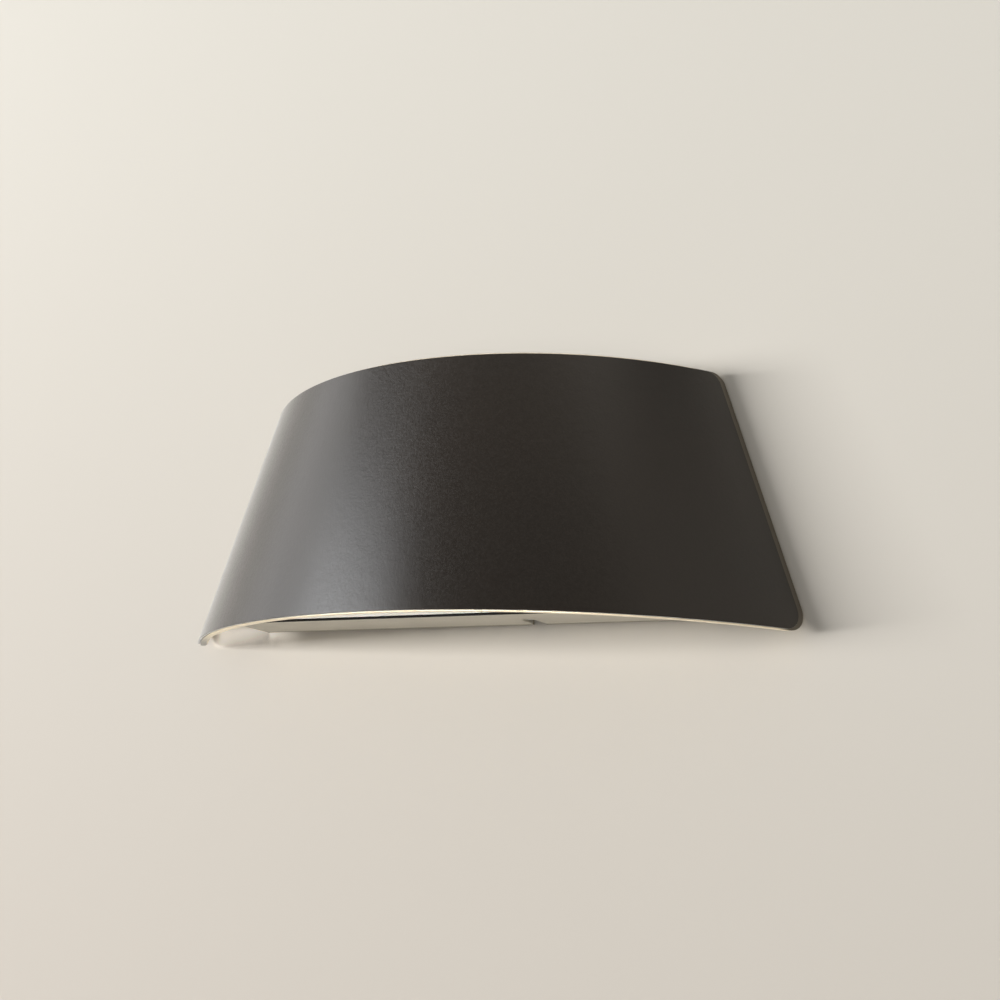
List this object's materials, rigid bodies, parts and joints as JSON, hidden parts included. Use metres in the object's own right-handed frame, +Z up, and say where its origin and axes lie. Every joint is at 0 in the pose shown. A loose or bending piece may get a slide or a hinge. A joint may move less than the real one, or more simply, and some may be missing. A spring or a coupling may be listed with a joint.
{
  "type": "outdoor wall downlight",
  "caption": "Outdoor wall downlight with a tapering curved bronze shade and bright rim, before a flat back box that hangs on a hooked wall bracket and shines down through a recessed diffuser.",
  "frame": {"origin": "on the wall, midway between the two wall screw slots of the bracket", "axes": "+X to the right along the wall seen from in front, +Y into the wall, +Z up; the light stands out towards -Y"},
  "size_m": [0.291, 0.0804, 0.11],
  "materials": {
    "bronze_cover": "fine satin powder coat, dark bronze",
    "champagne_shell": "satin anodised, champagne",
    "beige_box": "satin powder coat, beige",
    "black_baffle": "matte black moulding",
    "bracket_steel": "zinc plated sheet",
    "screw_steel": "zinc plated",
    "brass": "bright brass",
    "rubber": "soft matte rubber",
    "foam": "closed-cell foam",
    "white_plastic": "fine-grained moulding",
    "opal": "opal diffuser",
    "tray_aluminium": "mill finish sheet",
    "board_white": "white solder mask",
    "phosphor": "yellow phosphor in a white frame",
    "lead_brown": "insulated lead",
    "lead_red": "insulated lead"
  },
  "bodies": {
    "bracket": {"wall_bracket": "bracket_steel", "cable_grommet": "rubber", "earth_screw": "brass"},
    "lock_screw": {"lock_screw": "screw_steel"},
    "fixture": {"back_box": "beige_box", "box_gasket": "foam", "driver": "white_plastic", "driver_screws": "screw_steel", "terminal_block": "white_plastic", "terminal_screws": "brass", "cord_clamp": "black_baffle", "clamp_screws": "screw_steel", "supply_leads": "lead_brown", "lead_grommet": "rubber", "led_leads": "lead_red", "shade_cover": "bronze_cover", "shade_shell": "champagne_shell", "shade_lugs": "champagne_shell", "top_cap": "bronze_cover", "cap_screws": "screw_steel", "led_tray": "tray_aluminium", "tray_screws": "screw_steel", "led_board": "board_white", "board_screws": "screw_steel", "led_chips": "phosphor", "reflector": "white_plastic", "diffuser": "opal", "diffuser_gasket": "rubber", "glare_baffle": "black_baffle", "baffle_screws": "screw_steel", "front_skirt": "black_baffle", "front_liner": "white_plastic"}
  },
  "joints": [
    {"name": "fixture_release", "type": "slide", "parent": "bracket", "child": "fixture", "axis": [0, -1, 0], "range_m": [0, 0.016]},
    {"name": "lock_screw_travel", "type": "slide", "parent": "bracket", "child": "lock_screw", "axis": [0, 0, -1], "range_m": [0, 0.0025]}
  ]
}
